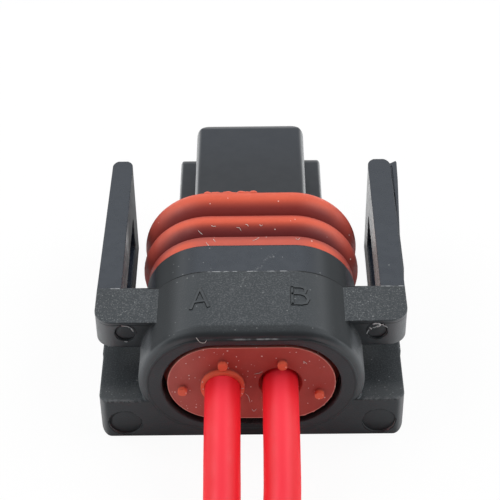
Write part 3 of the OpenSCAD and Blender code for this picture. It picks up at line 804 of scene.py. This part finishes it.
# Cavity letters on top of the body: middle, and strokes from it
LETTERS = {
    "letter_a": ((-3.93, -10.22), [
        [(-0.70, -0.96), (-0.05, 1.34), (0.66, -0.84)],
        [(-0.44, -0.25), (0.36, -0.17)],
    ]),
    "letter_b": ((3.83, -9.75), [
        [(-0.6, -1.1), (-0.6, 0.88), (0.08, 0.88), (0.36, 0.78), (0.47, 0.56), (0.36, 0.2),
         (0.08, 0.08), (-0.6, 0.08)],
        [(0.08, 0.08), (0.44, -0.08), (0.64, -0.5), (0.46, -0.96), (0.1, -1.1), (-0.6, -1.1)],
    ]),
}
LETTER_FLAT = 0.85  # a face whose normal has less z than this is a flank


def body_top(x):
    past = max(abs(x) - OVAL_FLAT / 2, 0)
    return AXIS_H + math.sqrt(BODY_R ** 2 - past ** 2)


def make_letter(name, middle, strokes, top, flank):
    """Raised letter: each stroke is a low bar with sloping sides that follows the body's curve."""
    half, slope, rise, sunk, rows_each = 0.105, 0.105, 0.06, 0.08, 5
    overlap = half * 0.6
    section = ((-half - slope, -sunk), (-half, rise), (half, rise), (half + slope, -sunk))
    bm = bmesh.new()
    for stroke in strokes:
        for a, b in zip(stroke, stroke[1:]):
            a, b = Vector(a), Vector(b)
            along = (b - a).normalized()
            side = Vector((-along.y, along.x))
            a, b = a - along * overlap, b + along * overlap
            rows = []
            for i in range(rows_each):
                p = a.lerp(b, i / (rows_each - 1)) + Vector(middle)
                row = []
                for off, up in section:
                    q = p + side * off
                    row.append(bm.verts.new((q.x, q.y, body_top(q.x) + up)))
                rows.append(row)
            loft(bm, rows)
    bm.normal_update()
    # Sides of the strokes take the material with painted shade
    for face in bm.faces:
        face.material_index = int(abs(face.normal.z) < LETTER_FLAT)
    letter = mesh_piece(name, bm, top, smooth=False)
    letter.data.materials.append(flank)


# Flash round the upper ejector marks: radius and line of each shred
MARK_FLASH = {
    "mark_flash_left": [
        (0.04, [(-10.13, -10.95, 9.14), (-9.88, -10.96, 9.11), (-9.62, -10.95, 9.03),
                (-9.44, -10.93, 8.88)]),
        (0.045, [(-9.40, -10.93, 8.84), (-9.3, -10.94, 8.66), (-9.22, -10.92, 8.46)]),
        (0.03, [(-9.98, -10.95, 7.48), (-9.86, -10.95, 7.41), (-9.74, -10.95, 7.43)]),
    ],
    "mark_flash_right": [
        (0.07, [(9.5, -10.95, 9.03), (9.67, -10.96, 9.14), (9.94, -10.97, 9.12),
                (10.07, -10.97, 9.0), (9.98, -10.97, 8.87), (9.78, -10.96, 8.8)]),
        (0.035, [(10.05, -10.97, 8.93), (10.21, -10.96, 9.0), (10.38, -10.93, 9.06)]),
        (0.055, [(9.26, -10.94, 8.7), (9.35, -10.96, 8.61), (9.45, -10.97, 8.53)]),
        (0.03, [(9.24, -10.93, 8.46), (9.14, -10.92, 8.22), (9.07, -10.91, 7.97)]),
        (0.03, [(10.27, -10.95, 8.9), (10.49, -10.93, 8.82), (10.66, -10.9, 8.62)]),
        (0.035, [(9.81, -10.97, 8.82), (9.66, -10.97, 8.7), (9.5, -10.95, 8.68)]),
    ],
}
# Fibres that cling to the plug
FIBRE_R = 0.02
FIBRES = {
    "rim_fibre": [
        [(-4.16, -14.07, 10.76), (-3.95, -14.2, 10.5), (-3.78, -14.22, 10.34),
         (-3.5, -14.22, 10.34), (-3.36, -14.19, 10.58)],
    ],
    "ring_fibres": [
        [(-4.29, -1.62, 11.02), (-4.13, -1.78, 10.94), (-3.92, -1.94, 10.84)],
        [(-1.14, -1.48, 11.18), (-0.89, -1.53, 11.15), (-0.77, -1.74, 11.02)],
        [(-3.23, -1.28, 11.26), (-3.02, -1.37, 11.22), (-2.82, -1.35, 11.23)],
        [(-0.4, -1.21, 11.28), (-0.24, -1.26, 11.26), (-0.15, -1.4, 11.21)],
        [(0.75, -1.22, 11.27), (0.87, -1.36, 11.22), (1.0, -1.27, 11.26)],
        [(-3.62, -2.96, 10.86), (-3.45, -3.29, 10.87), (-3.35, -3.5, 10.87)],
        [(-3.05, -2.57, 10.87), (-2.94, -2.74, 10.87), (-2.85, -2.92, 10.87)],
        [(0.16, -2.84, 10.87), (0.45, -2.67, 10.87), (0.74, -2.39, 10.87)],
        [(3.67, -2.55, 10.86), (3.87, -2.74, 10.85), (4.02, -2.49, 10.83)],
    ],
    "seal_fibres": [
        [(0.2, -14.02, 6.74), (0.55, -14.03, 6.84), (0.86, -14.02, 6.99)],
        [(-0.49, -14.02, 4.59), (-0.26, -14.02, 4.26), (-0.15, -14.02, 3.58)],
        [(0.0, -14.02, 2.85), (0.16, -14.02, 2.62), (0.35, -14.02, 2.89)],
        [(3.98, -14.02, 8.09), (4.17, -14.02, 7.95), (4.29, -14.02, 7.76)],
    ],
}


def make_fibres(name, lines, material):
    """Thin round fibres along the given lines, tapering at both ends."""
    steps, sides = 6, 6
    aslant = Vector((0.3, 0.8, 0.52))
    bm = bmesh.new()
    for radius, places in lines:
        line = smooth_line([Vector(p) for p in places], steps)
        last = len(line) - 1
        rows = []
        for i, place in enumerate(line):
            along = (line[min(i + 1, last)] - line[max(i - 1, 0)]).normalized()
            side = along.cross(aslant).normalized()
            taper = min(1.0, 0.4 + 0.3 * min(i, last - i))  # full two steps from an end
            rows.append(circle(bm, place, radius * taper, side, along.cross(side), sides))
        loft(bm, rows)
    mesh_piece(name, bm, material)


# Ragged flash on the front rib of the ring: x, rise and half length of each bump
RING_BUMPS = [
    (-3.6, 0.09, 0.3), (-2.9, 0.06, 0.4), (-1.9, 0.10, 0.45),
    (-0.75, 0.12, 0.4), (-0.25, 0.08, 0.2), (0.25, 0.15, 0.35),
]
RING_FLASH_HALF = 0.2
# Ragged flash on the lower edge of the wire seal: angle in degrees, rise and half length
SEAL_BUMPS = [
    (-78, 0.05, 4), (-68, 0.14, 4), (-63, 0.08, 3), (-56, 0.13, 3),
    (-49, 0.06, 4), (-40, 0.10, 3), (-33, 0.05, 5), (-24, 0.07, 3),
]
SEAL_FLASH_HALF = 0.055


def ragged(at, bumps, low):
    """Height of a ragged edge: the tallest bump there, over a low uneven ridge."""
    rise = max(h * max(0, 1 - ((at - middle) / half) ** 2) for middle, h, half in bumps)
    return rise + low * (0.6 + 0.4 * math.sin(9.3 * at) * math.sin(23.1 * at))


def make_ridge(name, spine, half, material):
    """Ridge of flash along a spine of places, outward and crosswise directions and heights."""
    sunk = -0.06
    bm = bmesh.new()
    rows = []
    for place, out, across, rise in spine:
        section = ((-1, sunk), (-0.45, rise * 0.8), (0, rise), (0.45, rise * 0.8), (1, sunk))
        rows.append([bm.verts.new(place + across * a * half + out * h) for a, h in section])
    loft(bm, rows)
    mesh_piece(name, bm, material)


def ring_spine():
    """Along the upper front of the front rib, where its surface leans 40 degrees forward."""
    start, length, steps, low = -3.9, 4.5, 60, 0.05
    out, across = Vector((0, 0.64, 0.77)), Vector((0, 0.77, -0.64))
    places = [start + length * i / steps for i in range(steps + 1)]
    return [
        (Vector((x, 3.45, 10.93)), out, across, ragged(x, RING_BUMPS, low)) for x in places
    ]


def seal_spine():
    """Along the lower right edge of the wire seal's rear face."""
    start, sweep, steps, low = -82, 62, 90, 0.02
    middle, across = Vector((SEAL_FLAT / 2, SEAL_Y + 0.06, AXIS_H)), Vector((0, 1, 0))
    spine = []
    for i in range(steps + 1):
        degrees = start + sweep * i / steps
        angle = math.radians(degrees)
        out = Vector((math.cos(angle), 0, math.sin(angle)))
        place = middle + out * (SEAL_R - 0.02)
        spine.append((place, out, across, ragged(degrees, SEAL_BUMPS, low)))
    return spine


# Web that closes the front of the groove beside one arm's thin lip: y, inner x, outer x and top
WEB = [(9.2, 12.29, 12.47, 9.28), (5.6, 12.335, 12.445, 9.27), (4.0, 12.352, 12.435, 8.7)]
WEB_LOW = 8.35


def make_web(material):
    bm = bmesh.new()
    rows = []
    for y, inner, outer, top in WEB:
        section = ((inner, WEB_LOW), (inner, top), (outer, top), (outer, WEB_LOW))
        rows.append([bm.verts.new((x, y, z)) for x, z in section])
    loft(bm, rows)
    mesh_piece("lip_web", bm, material, smooth=False)


# Stage, in metres and watts
FLOOR_SIZE = 4.0
FLOOR_DROP = 0.00003
FLOOR_WHITE = (0.88, 0.88, 0.88, 1)
FLOOR_GLOW = 0.94  # share of white that the camera sees
FLOOR_MIRRORED = 0.1  # share of white that reflections see
LIGHT_PLACE = (0.42, 0.1, 0.48)
LIGHT_SIZE = (0.5, 0.4)
LIGHT_POWER = 2.5


def make_stage():
    """White floor that keeps a faint shadow of the plug."""
    mesh = bpy.data.meshes.new("floor")
    s = FLOOR_SIZE
    mesh.from_pydata([(-s, -s, 0), (s, -s, 0), (s, s, 0), (-s, s, 0)], [], [(0, 1, 2, 3)])
    floor = link(bpy.data.objects.new("floor", mesh))
    floor.location.z = -FLOOR_DROP
    material = bpy.data.materials.new("floor_white")
    material.use_nodes = True
    material.node_tree.nodes.clear()
    n = Nodes(material.node_tree, "Object")
    diffuse = n.add("ShaderNodeBsdfDiffuse")
    n.feed(diffuse.inputs["Color"], FLOOR_WHITE)
    glow = n.add("ShaderNodeEmission")
    n.feed(glow.inputs["Strength"], 1.0)
    seen = n.add("ShaderNodeLightPath").outputs
    mirrored = n.most(seen["Is Glossy Ray"], seen["Is Transmission Ray"])
    share = n.most(
        n.product(seen["Is Camera Ray"], FLOOR_GLOW), n.product(mirrored, FLOOR_MIRRORED))
    mix = n.add("ShaderNodeMixShader")
    n.feed(mix.inputs[0], share)
    n.feed(mix.inputs[1], diffuse.outputs[0])
    n.feed(mix.inputs[2], glow.outputs[0])
    n.feed(n.add("ShaderNodeOutputMaterial").inputs["Surface"], mix.outputs[0])
    mesh.materials.append(material)


def make_world():
    """White surroundings: bright behind the nose and at both sides, dark above the camera."""
    world = bpy.data.worlds.new("world")
    bpy.context.scene.world = world
    world.use_nodes = True
    n = Nodes(world.node_tree, "Generated")
    x, y, z = n.split(n.place)
    # How far a direction leans towards the camera, which looks down at 40 degrees
    front = n.plus(n.product(y, -0.766), n.product(z, 0.643))
    tent = n.ramp(front, -0.08, 0.16, 0.9, 0.12)
    height = n.ramp(n.absolute(n.minus(z, 0.69)), 0.05, 0.11, 1, 0)
    width = n.ramp(n.absolute(x), 0.5, 0.25)
    behind = n.product(height, n.ramp(y, 0.3, 0.5), width, 0.7)
    sides = n.plus(n.ramp(x, -0.5, -0.8, 0, 0.8), n.ramp(x, 0.5, 0.8, 0, 0.8))
    beside = n.product(sides, n.ramp(z, 0.7, 0.5))
    light = n.plus(tent, n.plus(behind, beside))
    seen = n.add("ShaderNodeLightPath").outputs["Is Camera Ray"]
    back = n.tree.nodes["Background"]
    n.feed(back.inputs["Color"], (1, 1, 1, 1))
    n.feed(back.inputs["Strength"], n.plus(n.product(light, n.minus(1.0, seen)), seen))


def side_light(side):
    """Soft lamp above one side of the plug, aimed at the origin."""
    x, y, z = LIGHT_PLACE
    place = Vector((side * x, y, z))
    data = bpy.data.lights.new("side_light", "AREA")
    data.shape = "RECTANGLE"
    data.size, data.size_y = LIGHT_SIZE
    data.energy = LIGHT_POWER
    lamp = link(bpy.data.objects.new("side_light", data))
    lamp.location = place
    lamp.rotation_euler = (-place).to_track_quat("-Z", "Y").to_euler()


make_camera()

insulation = wire_material()
copper = metal_material("bare_copper", (0.62, 0.28, 0.14), (0.86, 0.45, 0.26), rough=0.24)
wire_a = make_wire("wire_lead_a", ROUTE_A, insulation)
wire_b = make_wire("wire_lead_b", ROUTE_B, insulation)
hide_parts("wire_a")
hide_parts("wire_b")
strands_a = make_strands("strands_a", "conductor_a", ROUTE_A, copper)
strands_b = make_strands("strands_b", "conductor_b", ROUTE_B, copper)

ring_rubber = rubber_material("ring_rubber", *RING_RED, dust_share=0.03, finish=ring_finish)
mat_rubber = rubber_material("mat_rubber", *SEAL_RED, dust_share=0.6, finish=seal_finish)
plastic = plastic_material()
tin = metal_material("tinned_strip", (0.60, 0.59, 0.56), (0.76, 0.75, 0.72), rough=0.22)
for node, material in {
    "housing": plastic,
    "ring_seal": ring_rubber,
    "wire_seal": mat_rubber,
    "terminal_a": tin,
    "terminal_b": tin,
    "wire_tie": nylon_material(),
}.items():
    materials = nodes[node].data.materials
    materials.clear()
    materials.append(material)

lettering, flanks = letter_material(), flank_shade_material()
for name, (middle, strokes) in LETTERS.items():
    make_letter(name, middle, strokes, lettering, flanks)

make_web(plastic)
flash = flash_material()
for name, lines in MARK_FLASH.items():
    make_fibres(name, lines, flash)
fibre = fibre_material()
for name, lines in FIBRES.items():
    make_fibres(name, [(FIBRE_R, places) for places in lines], fibre)
# The ring's flash takes a lighter copy of the rubber, painted light
lit_flash_rubber = rubber_material("lit_flash_rubber", *FLASH_RED_LIT, dust_share=0.0)
make_ridge("ring_flash", ring_spine(), RING_FLASH_HALF, lit_flash_rubber)
make_ridge("seal_flash", seal_spine(), SEAL_FLASH_HALF, mat_rubber)

make_stage()
make_world()
side_light(-1)
side_light(1)

bpy.context.scene.view_settings.view_transform = "Standard"

bpy.context.view_layer.update()
